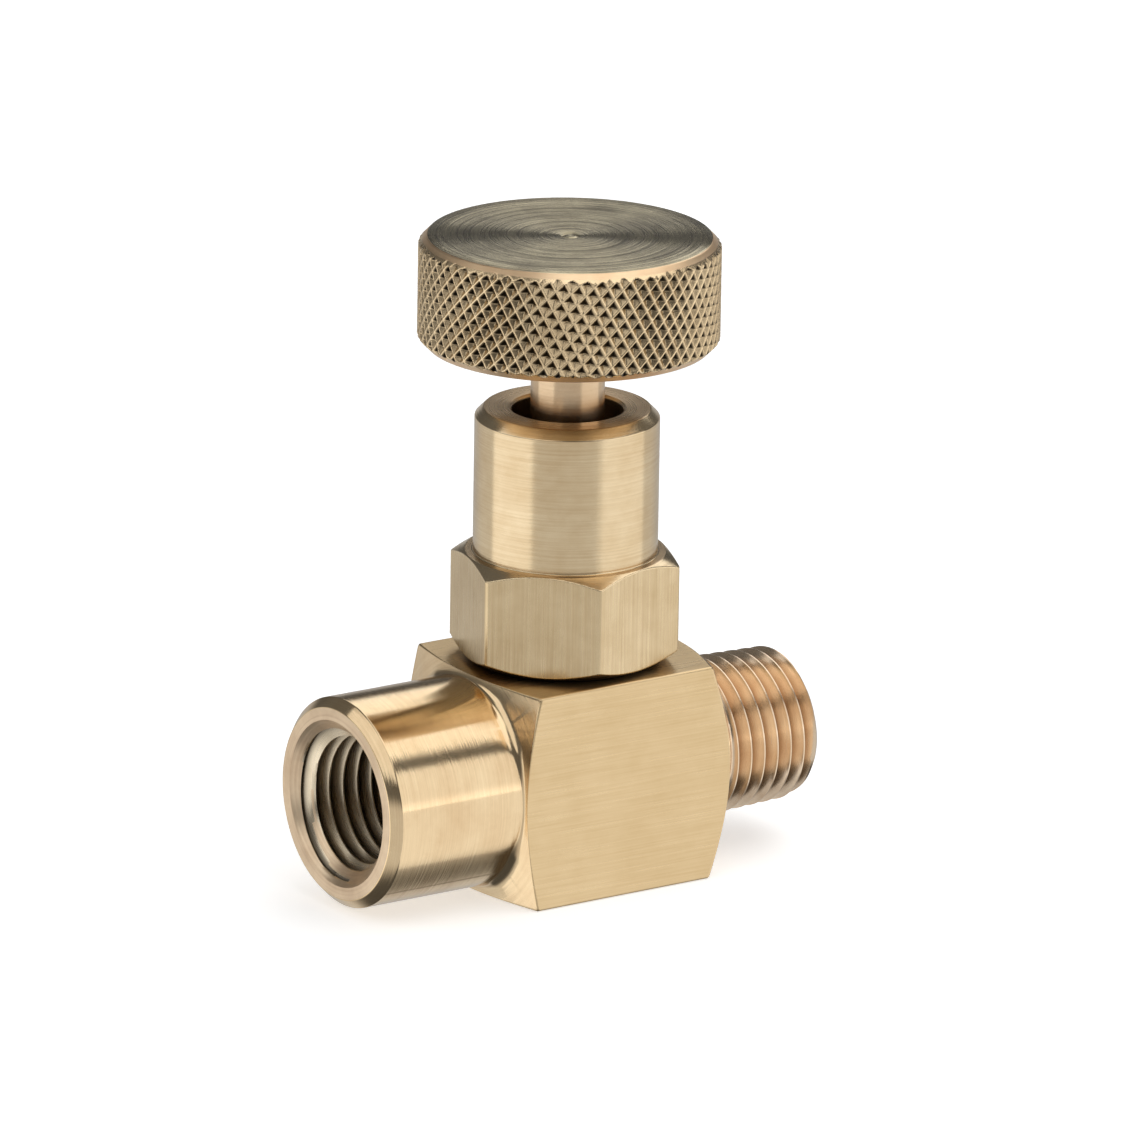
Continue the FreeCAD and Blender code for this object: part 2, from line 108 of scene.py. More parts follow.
def vector_math(tree: bpy.types.NodeTree, operation: str, **links: object) -> bpy.types.Node:
    """Add a vector maths node."""
    return add(tree, "ShaderNodeVectorMath", {"operation": operation}, **links)


class Lay(Enum):
    """Direction in which a tool left its lines."""

    ALONG_FLOW = "straight lines along X, left by drawing the bar"
    ALONG_STEM = "straight lines along Z, left by drawing the hexagon bar"
    ROUND_FLOW = "circles about the flow axis, left by turning"
    ROUND_STEM = "circles about the stem axis, left by turning"
    FACED_FLOW = "circles on a face square to the flow axis"
    FACED_STEM = "circles on a face square to the stem axis"
    NONE = "no direction, as moulded or blasted"


@dataclass(frozen=True)
class Finish:
    """Surface of one metal or polymer, with its tool marks.

    Attributes:
        name: material and process.
        colour: sRGB hex of the clean surface.
        stain: sRGB hex of the tarnished or greasy patches.
        roughness: microfacet roughness between the lines.
        lay: direction of the tool marks.
        pitch_mm: distance from one tool mark to the next.
        depth_um: depth of the marks.
        metallic: 1 for a metal, 0 for a polymer.
        stain_share: how much of the stain shows.
        streak: how much the marks change the tone.
        stretch: how much rougher the surface is across the marks than along them.
        painted_shade: sRGB hex of the painted shade where the skin's grime is 1, or empty for none.
    """

    name: str
    colour: str
    stain: str
    roughness: float
    lay: Lay
    pitch_mm: float = 0.15
    depth_um: float = 3.0
    metallic: float = 1.0
    stain_share: float = 0.35
    streak: float = 0.12
    stretch: float = 0.6
    painted_shade: str = ""

    def coordinates(self, tree: bpy.types.NodeTree) -> bpy.types.NodeSocket:
        """Coordinates that run fast across the tool marks and slowly along them.

        Args:
            tree: the material's node tree.

        Returns:
            A vector output in units of the mark pitch.
        """
        place = add(tree, "ShaderNodeTexCoord").outputs["Object"]
        across = 1 / (self.pitch_mm * MM)
        along = 1 / (MARK_LENGTH * self.pitch_mm * MM)
        if self.lay in (Lay.FACED_FLOW, Lay.FACED_STEM):
            return self.rings(tree, place, across, along)
        scale = {
            Lay.ALONG_FLOW: (along, across, across),
            Lay.ALONG_STEM: (across, across, along),
            Lay.ROUND_FLOW: (across, along, along),
            Lay.ROUND_STEM: (along, along, across),
        }.get(self.lay, (across, across, across))
        return vector_math(tree, "MULTIPLY", in_0=place, in_1=scale).outputs[0]

    def rings(self, tree: bpy.types.NodeTree, place: bpy.types.NodeSocket, across: float,
              along: float) -> bpy.types.NodeSocket:
        """Coordinates of a faced surface, which run fast outward and slowly round.

        Args:
            tree: the material's node tree.
            place: position in the frame.
            across: scale across the marks.
            along: scale along the marks.

        Returns:
            A vector output in units of the mark pitch.
        """
        about_flow = self.lay is Lay.FACED_FLOW
        centre = (0, 0, FLOW_HEIGHT) if about_flow else (0, 0, 0)
        moved = vector_math(tree, "SUBTRACT", in_0=place, in_1=centre).outputs[0]
        square = (0, 1, 1) if about_flow else (1, 1, 0)
        flat = vector_math(tree, "MULTIPLY", in_0=moved, in_1=square).outputs[0]
        radius = vector_math(tree, "LENGTH", in_0=flat).outputs["Value"]
        fast = add(tree, "ShaderNodeMath", {"operation": "MULTIPLY"}, in_0=radius, in_1=across).outputs[0]
        slow = vector_math(tree, "SCALE", in_0=flat, Scale=along).outputs[0]
        split = add(tree, "ShaderNodeSeparateXYZ", Vector=slow)
        side = split.outputs["Z" if about_flow else "Y"]
        return add(tree, "ShaderNodeCombineXYZ", X=fast, Y=side).outputs[0]

    def material(self) -> bpy.types.Material:
        """Build the node material, once for each finish.

        Returns:
            The material of this name.
        """
        if self.name in bpy.data.materials:
            return bpy.data.materials[self.name]
        made = bpy.data.materials.new(self.name)
        made.use_nodes = True
        tree = made.node_tree
        shader = tree.nodes["Principled BSDF"]
        place = add(tree, "ShaderNodeTexCoord").outputs["Object"]
        marks = add(tree, "ShaderNodeTexNoise", Vector=self.coordinates(tree), Scale=1.0, Detail=3.0,
                    Roughness=0.6).outputs["Fac"]
        patch = add(tree, "ShaderNodeTexNoise", Vector=place, Scale=1 / STAIN_SIZE, Detail=4.0, Roughness=0.6)
        spread = add(tree, "ShaderNodeMapRange", Value=patch.outputs["Fac"], From_Min=0.38, From_Max=0.72,
                     To_Min=0.0, To_Max=self.stain_share)
        line = add(tree, "ShaderNodeMapRange", Value=marks, From_Min=NOISE_LOW, From_Max=NOISE_HIGH,
                   To_Min=0.0, To_Max=self.streak)
        both = add(tree, "ShaderNodeMath", {"operation": "ADD", "use_clamp": True},
                   in_0=spread.outputs[0], in_1=line.outputs[0])
        tone = self.mix(tree, both.outputs[0], srgb(self.colour), srgb(self.stain))
        # Painted shade: the skin's grime attribute blends the tone towards the grime colour.
        if self.painted_shade:
            shade_share = add(tree, "ShaderNodeAttribute", {"attribute_name": "painted_shade"}).outputs["Fac"]
            tone = self.mix(tree, shade_share, tone, srgb(self.painted_shade))
        tree.links.new(tone, shader.inputs["Base Color"])
        rough = add(tree, "ShaderNodeMapRange", Value=marks, From_Min=NOISE_LOW, From_Max=NOISE_HIGH,
                    To_Min=self.roughness * 0.85, To_Max=self.roughness * 1.2)
        tree.links.new(rough.outputs[0], shader.inputs["Roughness"])
        bump = add(tree, "ShaderNodeBump", Height=marks, Strength=1.0, Distance=self.depth_um * 1e-6)
        tree.links.new(bump.outputs[0], shader.inputs["Normal"])
        shader.inputs["Metallic"].default_value = self.metallic
        if self.lay is not Lay.NONE:
            axis = "X" if self.lay in (Lay.ALONG_FLOW, Lay.ROUND_FLOW, Lay.FACED_FLOW) else "Z"
            tangent = add(tree, "ShaderNodeTangent", {"direction_type": "RADIAL", "axis": axis})
            tree.links.new(tangent.outputs[0], shader.inputs["Tangent"])
            shader.inputs["Anisotropic"].default_value = self.stretch
            straight = self.lay in (Lay.ALONG_FLOW, Lay.ALONG_STEM)
            shader.inputs["Anisotropic Rotation"].default_value = 0.0 if straight else 0.25
        return made

    def mix(self, tree: bpy.types.NodeTree, share: object, first: object,
            second: object) -> bpy.types.NodeSocket:
        """Blend two colours by a share.

        Args:
            tree: the material's node tree.
            share: output that is 0 for the first colour and 1 for the second.
            first: a colour, or an output.
            second: a colour, or an output.

        Returns:
            The blended colour.
        """
        blend = add(tree, "ShaderNodeMix", {"data_type": "RGBA"}, in_0=share, in_6=first, in_7=second)
        return blend.outputs[2]


# ---------------------------------------------------------------- sizes read from the frame

BODY_LOW, BODY_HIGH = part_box("valve_body")
BONNET_LOW, BONNET_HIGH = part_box("bonnet")
KNOB_LOW, KNOB_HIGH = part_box("knob")
STEM_LOW, STEM_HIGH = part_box("stem")
BAR_WIDTH = BODY_HIGH.z - BODY_LOW.z
FLOW_HEIGHT = BODY_LOW.z + BAR_WIDTH / 2


# ---------------------------------------------------------------- finishes

# Drawn square bar: pale straw, satin, with faint long scratches along the draw.
DRAWN_BAR = Finish("brass_drawn_bar", "#e6cb9f", "#c4a470", 0.30, Lay.ALONG_FLOW, 0.18, 16.0, stain_share=0.2,
                   streak=0.3)
# Drawn hexagon bar: the same metal with the scratches upright.
DRAWN_HEXAGON = Finish("brass_drawn_hexagon", "#e9d2aa", "#bfa275", 0.28, Lay.ALONG_STEM, 0.22, 18.0,
                       streak=0.4)
# Turned about the flow axis: brighter and pinker, with fine rings.
TURNED_FLOW = Finish("brass_turned_about_flow", "#f4dab0", "#cfa97c", 0.14, Lay.ROUND_FLOW, 0.15, 12.0,
                     streak=0.25, stretch=0.7)
# Turned about the stem axis: satin rings on the bonnet, with painted shade in the gap under its hexagon.
TURNED_STEM = Finish("brass_turned_about_stem", "#efd9b3", "#c9a878", 0.20, Lay.ROUND_STEM, 0.17, 16.0,
                     streak=0.3, stretch=0.7, painted_shade="#3a2c1c")
# Faced with a pointed tool: dull pale rings with brown stains.
FACED_FLOW = Finish("brass_faced_end", "#fbe2c0", "#9c7656", 0.40, Lay.FACED_FLOW, 0.24, 26.0,
                    stain_share=0.32, streak=0.22, stretch=0.4)
# The same cut square to the stem axis: pinkish rings, painted near black as shade under the hexagon.
FACED_STEM = Finish("brass_faced_top", "#e3c8a0", "#b08d66", 0.28, Lay.FACED_STEM, 0.2, 16.0, streak=0.3,
                    painted_shade="#2e2318")
# Knob top, faced with a coarse feed: olive tone and rings wide enough to see.
FACED_KNOB = Finish("brass_faced_knob_top", "#d9cdac", "#5c533f", 0.25, Lay.FACED_STEM, 0.24, 75.0,
                    streak=0.85, stretch=0.85)
# Chamfer turned with a dull form tool: an even pinkish band round the knob.
CHAMFER_TURNED = Finish("brass_turned_chamfer", "#fbdcb4", "#cf9f70", 0.36, Lay.ROUND_STEM, 0.15, 8.0,
                        stretch=0.15)
# Cut thread: coppery, a little torn along the cut, with painted shade toward the roots.
THREAD_CUT = Finish("brass_cut_thread", "#f5dfc3", "#cfab86", 0.23, Lay.ROUND_FLOW, 0.12, 6.0,
                    stain_share=0.5, painted_shade="#c4a383")
# Tapped thread: greyer than the outside, with near black painted shade in the roots of its grooves.
THREAD_TAPPED = Finish("brass_tapped_thread", "#f2e2c6", "#b39f80", 0.27, Lay.ROUND_FLOW, 0.12, 6.0,
                       stain_share=0.4, painted_shade="#1c150e")
# Turned rod: the stem's bar is a little pinker than the bonnet's.
TURNED_ROD = Finish("brass_turned_rod", "#e6cba8", "#c8a67e", 0.22, Lay.ROUND_STEM, 0.11, 6.0,
                    stretch=0.7)
# Rolled knurl: burnished ridges; near black painted shade in the pits and on down-facing slopes, upper slopes
# left bright.
KNURL_ROLLED = Finish("brass_rolled_knurl", "#f6dcb2", "#b3946c", 0.25, Lay.NONE, 0.30, 10.0,
                      stain_share=0.35, painted_shade="#140e08")
# Drilled bore: dull, with a dark colour that paints the shade inside the bore.
DRILLED = Finish("brass_drilled_bore", "#8d7759", "#5e4c38", 0.36, Lay.ROUND_FLOW, 0.2, 4.0)
# Stainless steel ground on a centreless grinder: cool grey and smooth.
GROUND_STEEL = Finish("stainless_steel_ground", "#c9c9c6", "#a3a3a0", 0.22, Lay.ROUND_STEM, 0.05, 1.0)
# Black oxide on alloy steel: near black with a low oily sheen.
BLACK_OXIDE = Finish("alloy_steel_black_oxide", "#2b2a29", "#1c1b1b", 0.40, Lay.NONE, 0.1, 2.0)
# Moulded nitrile rubber: black, matt, very slightly grained.
NITRILE = Finish("nitrile_rubber_moulded", "#151515", "#1f1e1d", 0.55, Lay.NONE, 0.08, 3.0, metallic=0.0)
# Skived PTFE: chalky white and waxy.
PTFE = Finish("ptfe_skived", "#e9e9e4", "#dcdcd6", 0.42, Lay.ROUND_STEM, 0.1, 3.0, metallic=0.0)


# ---------------------------------------------------------------- skins


class Axis(Enum):
    """Axis that a skin is turned about."""

    FLOW = "along X at the height of the ports"
    STEM = "along Z"


def polygon_radius(angles: np.ndarray, apothem: float, sides: int, corner: float,
                   normal: float) -> np.ndarray:
    """Distance from the centre to the edge of a regular polygon with rounded corners.

    Args:
        angles: directions in radians.
        apothem: half the width across flats.
        sides: number of flats.
        corner: radius of the corners.
        normal: direction that one flat faces, in radians.

    Returns:
        The radius in each direction.
    """
    half = math.pi / sides
    off = (angles - normal + half) % (2 * half) - half
    reach = (apothem - corner) * math.tan(half)
    centre = (apothem - corner) / math.cos(half)
    beside = half - np.abs(off)
    arc = centre * np.cos(beside) + np.sqrt(np.maximum(corner**2 - (centre * np.sin(beside)) ** 2, 0))
    return np.where(np.abs(off) <= math.atan2(reach, apothem), apothem / np.cos(off), arc)


def polygon_angles(sides: int, apothem: float, corner: float, normal: float, steps: int) -> np.ndarray:
    """Directions for a skin's columns, close together round each corner of a polygon.

    Args:
        sides: number of flats.
        apothem: half the width across flats.
        corner: radius of the corners.
        normal: direction that one flat faces, in radians.
        steps: columns on each flat.

    Returns:
        Rising angles over one turn, with the last one a full turn after the first.
    """
    half = math.pi / sides
    edge = math.atan2((apothem - corner) * math.tan(half), apothem)
    round_corner = np.linspace(edge, 2 * half - edge, 9)[1:-1]
    one = np.concatenate([np.linspace(-edge, edge, steps), round_corner])
    turns = [normal + 2 * half * k + one for k in range(sides)]
    return np.concatenate(turns + [[normal - edge + 2 * math.pi]])


def round_angles(count: int) -> np.ndarray:
    """Evenly spaced directions over one turn, both ends included."""
    return np.linspace(0, 2 * math.pi, count + 1)


@dataclass
class Skin:
    """Mesh of rows of points about an axis, each row with the same directions.

    Attributes:
        axis: what it is turned about.
        angles: direction of each column.
        corners: outline points as place along the axis, radius, corner radius, finish and grime, the share of
            painted shade.
        rows: finished rows as place, radius and grime, the share of painted shade, for each column.
        finishes: finish of the strip that follows each row.
    """

    axis: Axis
    angles: np.ndarray
    corners: list[tuple] = field(default_factory=list)
    rows: list[tuple[np.ndarray, ...]] = field(default_factory=list)
    finishes: list[Finish] = field(default_factory=list)

    def to(self, place: object, radius: object, finish: Finish, corner: float = 0.0,
           painted_shade: float = 0.0) -> "Skin":
        """Run the outline on to a point; the finish is that of the strip after it.

        Args:
            place: where it is along the axis, one number or one for each column.
            radius: distance from the axis, one number or one for each column.
            finish: surface from here on.
            corner: radius that rounds this point.
            painted_shade: how much painted shade darkens the surface here, from 0 to 1.

        Returns:
            The skin itself.
        """
        whole = np.zeros_like(self.angles)
        self.corners.append((whole + place, whole + radius, corner, finish, painted_shade))
        return self

    def settle(self) -> None:
        """Round the outline's corners and add its points to the rows."""
        marks = self.corners
        for k, (place, radius, corner, finish, painted_shade) in enumerate(marks):
            if corner == 0 or k in (0, len(marks) - 1):
                self.row(place, radius, finish, painted_shade)
                continue
            here = np.stack([place, radius])
            before = np.stack(marks[k - 1][:2]) - here
            after = np.stack(marks[k + 1][:2]) - here
            reach = corner * np.minimum(1.0, 0.45 * np.minimum(np.hypot(*before), np.hypot(*after)) / corner)
            first = here + before / np.maximum(np.hypot(*before), 1e-9) * reach
            last = here + after / np.maximum(np.hypot(*after), 1e-9) * reach
            for t in (0.0, 0.25, 0.5, 0.75, 1.0):
                bend = (1 - t) ** 2 * first + 2 * t * (1 - t) * here + t**2 * last
                self.row(bend[0], bend[1], finish, painted_shade)
        self.corners = []

    def row(self, place: np.ndarray, radius: np.ndarray, finish: Finish, painted_shade: object = 0.0) -> None:
        """Add one row as it is."""
        self.rows.append((place, np.maximum(radius, 0), np.zeros_like(radius) + painted_shade))
        self.finishes.append(finish)

    def points(self) -> np.ndarray:
        """Every row's points in the frame.

        Returns:
            An array of rows, columns and x, y, z.
        """
        place = np.stack([r[0] for r in self.rows])
        radius = np.stack([r[1] for r in self.rows])
        across, up = radius * np.cos(self.angles), radius * np.sin(self.angles)
        if self.axis is Axis.FLOW:
            return np.stack([place, across, FLOW_HEIGHT + up], axis=-1)
        return np.stack([across, up, place], axis=-1)

    def build(self, name: str) -> bpy.types.Object:
        """Make the mesh object.

        Args:
            name: the piece's name.

        Returns:
            The new object, linked to the scene.
        """
        self.settle()
        points = self.points()
        rows, columns = points.shape[:2]
        number = np.arange(rows * columns).reshape(rows, columns)
        first, after = number[:-1], number[1:]
        quads = np.stack([first[:, :-1], first[:, 1:], after[:, 1:], after[:, :-1]], axis=-1).reshape(-1, 4)
        used = list(dict.fromkeys(self.finishes))
        index = np.array([used.index(f) for f in self.finishes[:-1]])
        mesh = bpy.data.meshes.new(name)
        mesh.from_pydata(points.reshape(-1, 3).tolist(), [], quads.tolist())
        mesh.polygons.foreach_set("material_index", np.repeat(index, columns - 1))
        # Share of painted shade at each point, stored as the grime attribute.
        shade_share = np.stack([r[2] for r in self.rows]).ravel()
        mesh.attributes.new("painted_shade", "FLOAT", "POINT").data.foreach_set("value", shade_share)
        for finish in used:
            mesh.materials.append(finish.material())
        piece = bpy.data.objects.new(name, mesh)
        bpy.context.scene.collection.objects.link(piece)
        weld(piece)
        return piece


def weld(piece: bpy.types.Object) -> None:
    """Join points that coincide, drop empty faces and turn every face outward."""
    net = bmesh.new()
    net.from_mesh(piece.data)
    bmesh.ops.remove_doubles(net, verts=net.verts, dist=WELD_DISTANCE)
    bmesh.ops.recalc_face_normals(net, faces=net.faces)
    net.to_mesh(piece.data)
    net.free()


def smooth(piece: bpy.types.Object, angle: float = 35.0) -> None:
    """Shade smoothly except at sharp edges, with flats kept flat.

    Args:
        piece: the object to shade.
        angle: edges sharper than this, in degrees, stay crisp.
    """
    piece.data.polygons.foreach_set("use_smooth", [True] * len(piece.data.polygons))
    piece.data.set_sharp_from_angle(angle=math.radians(angle))
    weighted = piece.modifiers.new("flat faces", "WEIGHTED_NORMAL")
    weighted.keep_sharp = True
    weighted.weight = 80


def drill(piece: bpy.types.Object, tool: bpy.types.Object) -> None:
    """Cut a closed tool out of a piece and remove the tool.

    Args:
        piece: what is drilled.
        tool: the shape of the hole.
    """
    cut = piece.modifiers.new("hole", "BOOLEAN")
    cut.operation = "DIFFERENCE"
    cut.solver = "EXACT"
    cut.object = tool
    graph = bpy.context.evaluated_depsgraph_get()
    made = bpy.data.meshes.new_from_object(piece.evaluated_get(graph))
    piece.modifiers.clear()
    old, piece.data = piece.data, made
    bpy.data.meshes.remove(old)
    bpy.data.objects.remove(tool)


def place(piece: bpy.types.Object, node: str, body: str, slot: str) -> None:
    """Let a piece stand for a frame node.

    Args:
        piece: the new piece.
        node: the node it replaces.
        body: the body it rides on.
        slot: the record's material slot; not used.
    """
    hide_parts(node)
    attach(piece, body)
    log.info("%s: %d faces", piece.name, len(piece.data.polygons))


# ---------------------------------------------------------------- threads


@dataclass
class TaperThread:
    """Right-hand 1/4-18 taper pipe thread about the flow axis.

    Attributes:
        low: lowest X of the cut.
        high: highest X of the cut.
        crest_radius: crest radius at X = 0.
        taper: change of the radius along X.
        inward: True for a female thread, whose root lies outside its crest.
        pitch: distance from crest to crest.
        height: depth of the thread from crest to root.
        crest_flat: flat at the crest, as a share of the pitch.
        root_flat: flat at the root, as a share of the pitch.
    """

    low: float
    high: float
    crest_radius: float
    taper: float
    inward: bool
    pitch: float = INCH / 18
    height: float = 0.8 * (INCH / 18)
    crest_flat: float = 0.09
    root_flat: float = 0.05

    def radius(self, x: np.ndarray, phase: np.ndarray, fade: np.ndarray) -> np.ndarray:
        """Surface radius of the thread.

        Args:
            x: places along the flow axis.
            phase: place within the pitch, 0 at a crest.
            fade: 1 at full depth, 0 where the cut has run out.

        Returns:
            Distance from the flow axis.
        """
        from_root = np.abs(phase % 1.0 - 0.5) * 2
        depth = np.clip((1 - self.crest_flat - from_root) / (1 - self.crest_flat - self.root_flat), 0, 1)
        height = self.height * depth * fade
        return self.crest_radius + self.taper * x + (height if self.inward else -height)

    def steps(self) -> np.ndarray:
        """Phases of the rows within one pitch, close together where the form bends."""
        crest, root = self.crest_flat / 2, self.root_flat / 2
        return np.array([0.0, crest, 0.16, 0.27, 0.38, 0.5 - root, 0.5 + root, 0.62, 0.73, 0.84, 1 - crest])

    def rows(self, skin: Skin, fade: object, limit: object, finish: Finish) -> None:
        """Add the thread's rows to a skin.

        Args:
            skin: a skin about the flow axis.
            fade: function of X that gives the share of full depth.
            limit: function of X and radius that gives the radius after chamfers.
            finish: the thread's surface.
        """
        skin.settle()
        turns = math.ceil((self.high - self.low) / self.pitch) + 2
        turned = (skin.angles - skin.angles[0]) / (2 * math.pi)
        for turn in range(turns):
            for step in self.steps():
                x = np.clip(self.low + self.pitch * (turn + step - 1 + turned), self.low, self.high)
                phase = (x - self.low) / self.pitch - turned
                radius = limit(x, self.radius(x, phase, fade(x)))
                # Painted shade: the tone darkens with depth toward the root of the thread.
                depth = np.abs(radius - self.crest_radius - self.taper * x) / self.height
                in_thread = radius < self.crest_radius + self.taper * x + 0.85 * self.pitch
                skin.row(x, radius, finish, np.clip(depth * 1.5 - 0.6, 0, 0.8) * in_thread)


# ---------------------------------------------------------------- body


@dataclass
class Body:
    """Square bar with a female boss at the inlet and a threaded spigot at the outlet."""

    half: float = BAR_WIDTH / 2
    corner: float = 0.3 * MM
    edge: float = 0.2 * MM
    inlet_x: float = BODY_LOW.x
    outlet_x: float = BODY_HIGH.x
    inlet_shoulder: float = -9.95 * MM
    inlet_slope: float = math.tan(math.radians(18.2))
    outlet_shoulder: float = 11.0 * MM
    outlet_slope: float = math.tan(math.radians(26.6))
    shoulder_step: float = 0.5 * MM
    boss_radius: float = BAR_WIDTH / 2 - 0.38 * MM
    boss_chamfer: float = INCH / 32
    boss_root: float = 0.8 * MM
    mouth_radius: float = 7.25 * MM
    crest_at_mouth: float = (0.49163 * INCH - 0.8 * INCH / 18) / 2
    crest_at_outlet: float = (0.47739 * INCH + 0.8 * INCH / 18) / 2
    thread_depth: float = 10.3 * MM
    bore_depth: float = 14.0 * MM
    spigot_chamfer: float = 0.7 * MM
    collar: float = 1.6 * MM
    outlet_bore: float = 3.5 * MM
    outlet_bore_depth: float = 13.5 * MM
    taper: float = 1 / 32
    inlet_run_out: float = 1.6 * MM
    outlet_run_out: float = 0.9 * MM
    mouth_depth: float = 1.42 * MM
    mouth_floor: float = 5.75 * MM
    port: float = 6.71 * MM
    port_chamfer: float = 0.5 * MM
    port_ledge: float = BONNET_LOW.z - 0.8 * MM
    chamber: float = 4.8 * MM
    seat: float = FLOW_HEIGHT - 0.225 * MM

    def skin(self) -> Skin:
        """Outline of the whole body from the bottom of the inlet to the bottom of the outlet."""
        angles = polygon_angles(4, self.half, self.corner, 0.0, 60)
        flat = polygon_radius(angles, self.half, 4, self.corner, 0.0)
        skin = Skin(Axis.FLOW, angles)
        self.inlet(skin)
        self.bar(skin, flat)
        self.outlet(skin)
        return skin

    def inlet(self, skin: Skin) -> None:
        """Bore, female thread and faced end of the boss."""
        bore = self.crest_at_mouth - self.thread_depth * self.taper
        end = self.inlet_x + self.thread_depth
        skin.to(self.inlet_x + self.bore_depth, 0, DRILLED)
        skin.to(self.inlet_x + self.bore_depth, bore, DRILLED)
        skin.to(end + 0.01 * MM, bore, DRILLED)
        crest = self.crest_at_mouth + self.inlet_x * self.taper
        thread = TaperThread(self.inlet_x, end, crest, -self.taper, True)
        thread_rows = Skin(Axis.FLOW, skin.angles)
        thread.rows(thread_rows, lambda x: np.clip((end - x) / self.inlet_run_out, 0, 1), self.mouth_limit,
                    THREAD_TAPPED)
        skin.settle()
        # The thread's painted shade is left off the chamfer of the mouth.
        for x, radius, painted_shade in reversed(thread_rows.rows):
            in_mouth = radius < self.mouth_limit(x, 0 * radius) + 0.01 * MM
            skin.row(x, radius, THREAD_TAPPED, np.where(in_mouth, 0, painted_shade))

    def paint_mouth(self, piece: bpy.types.Object) -> None:
        """Give the chamfer of the mouth the finish of the faced end."""
        faced = [m.name for m in piece.data.materials].index(FACED_FLOW.name)
        for face in piece.data.polygons:
            depth = face.center.x - self.inlet_x
            radius = math.hypot(face.center.y, face.center.z - FLOW_HEIGHT)
            on_chamfer = radius < self.mouth_radius - depth + 0.03 * MM
            if on_chamfer and 1e-6 < depth < self.mouth_depth and radius > self.mouth_floor:
                face.material_index = faced

    def mouth_limit(self, x: np.ndarray, radius: np.ndarray) -> np.ndarray:
        """Open the thread out to the chamfer of the mouth."""
        return np.maximum(radius, self.mouth_radius - (x - self.inlet_x))

    def bar(self, skin: Skin, flat: np.ndarray) -> None:
        """Boss, sloping shoulders and drawn flats."""
        root = self.inlet_shoulder - (self.half - self.boss_radius) * self.inlet_slope
        skin.to(self.inlet_x, self.mouth_radius, FACED_FLOW)
        skin.to(self.inlet_x, self.boss_radius - self.boss_chamfer, TURNED_FLOW, 0.08 * MM)
        skin.to(self.inlet_x + self.boss_chamfer, self.boss_radius, TURNED_FLOW, 0.08 * MM)
        skin.to(root, self.boss_radius, TURNED_FLOW, self.boss_root)
        inner = self.boss_radius + (flat - self.boss_radius) * 0.9
        skin.to(self.inlet_shoulder + (inner - self.half) * self.inlet_slope, inner, TURNED_FLOW)
        skin.to(self.inlet_shoulder + (flat - self.half) * self.inlet_slope, flat, DRAWN_BAR, self.edge)
        skin.to(self.outlet_shoulder - (flat - self.half) * self.outlet_slope, flat, TURNED_FLOW, self.edge)
        skin.to(self.outlet_shoulder - (inner - self.half) * self.outlet_slope, inner, TURNED_FLOW)

    def outlet(self, skin: Skin) -> None:
        """Shoulder, collar, male thread and outlet bore."""
        face = self.outlet_shoulder + self.shoulder_step * self.outlet_slope
        start = face + self.collar
        crest = self.crest_at_outlet + self.outlet_x * self.taper
        collar_radius = crest - start * self.taper
        skin.to(face, self.half - self.shoulder_step, FACED_FLOW, 0.08 * MM)
        skin.to(face, collar_radius, TURNED_FLOW, 0.15 * MM)
        skin.to(start - 0.01 * MM, collar_radius, THREAD_CUT)
        thread = TaperThread(start, self.outlet_x, crest, -self.taper, False)
        thread.rows(skin, lambda x: np.clip((x - start) / self.outlet_run_out, 0, 1), self.spigot_limit,
                    THREAD_CUT)
        # The strip after the last row is the end face.
        skin.finishes[-1] = FACED_FLOW
        skin.to(self.outlet_x, self.outlet_bore + 0.25 * MM, TURNED_FLOW, 0.05 * MM)
        skin.to(self.outlet_x - 0.25 * MM, self.outlet_bore, DRILLED, 0.05 * MM)
        skin.to(self.outlet_x - self.outlet_bore_depth, self.outlet_bore, DRILLED)
        skin.to(self.outlet_x - self.outlet_bore_depth, 0, DRILLED)

    def spigot_limit(self, x: np.ndarray, radius: np.ndarray) -> np.ndarray:
        """Trim the thread to the chamfer at the outlet end."""
        return np.minimum(radius, self.crest_at_outlet - self.spigot_chamfer + (self.outlet_x - x))

    def port_tool(self) -> bpy.types.Object:
        """Tool that opens the bonnet port, down to the floor of the seat's chamber."""
        over = BAR_WIDTH + 1 * MM
        mouth = self.port + self.port_chamfer
        tool = Skin(Axis.STEM, round_angles(96))
        tool.to(self.seat, 0, DRILLED).to(self.seat, self.chamber, DRILLED)
        tool.to(self.port_ledge, self.chamber, DRILLED).to(self.port_ledge, self.port, DRILLED)
        tool.to(BAR_WIDTH - self.port_chamfer, self.port, DRILLED).to(BAR_WIDTH, mouth, DRILLED)
        tool.to(over, mouth, DRILLED).to(over, 0, DRILLED)
        return tool.build("port_tool")

    def build(self) -> None:
        """Make the body and put it in place."""
        piece = self.skin().build("brass_body")
        self.paint_mouth(piece)
        drill(piece, self.port_tool())
        smooth(piece)
        place(piece, "valve_body", "valve_housing", "body_brass")


# ---------------------------------------------------------------- bonnet


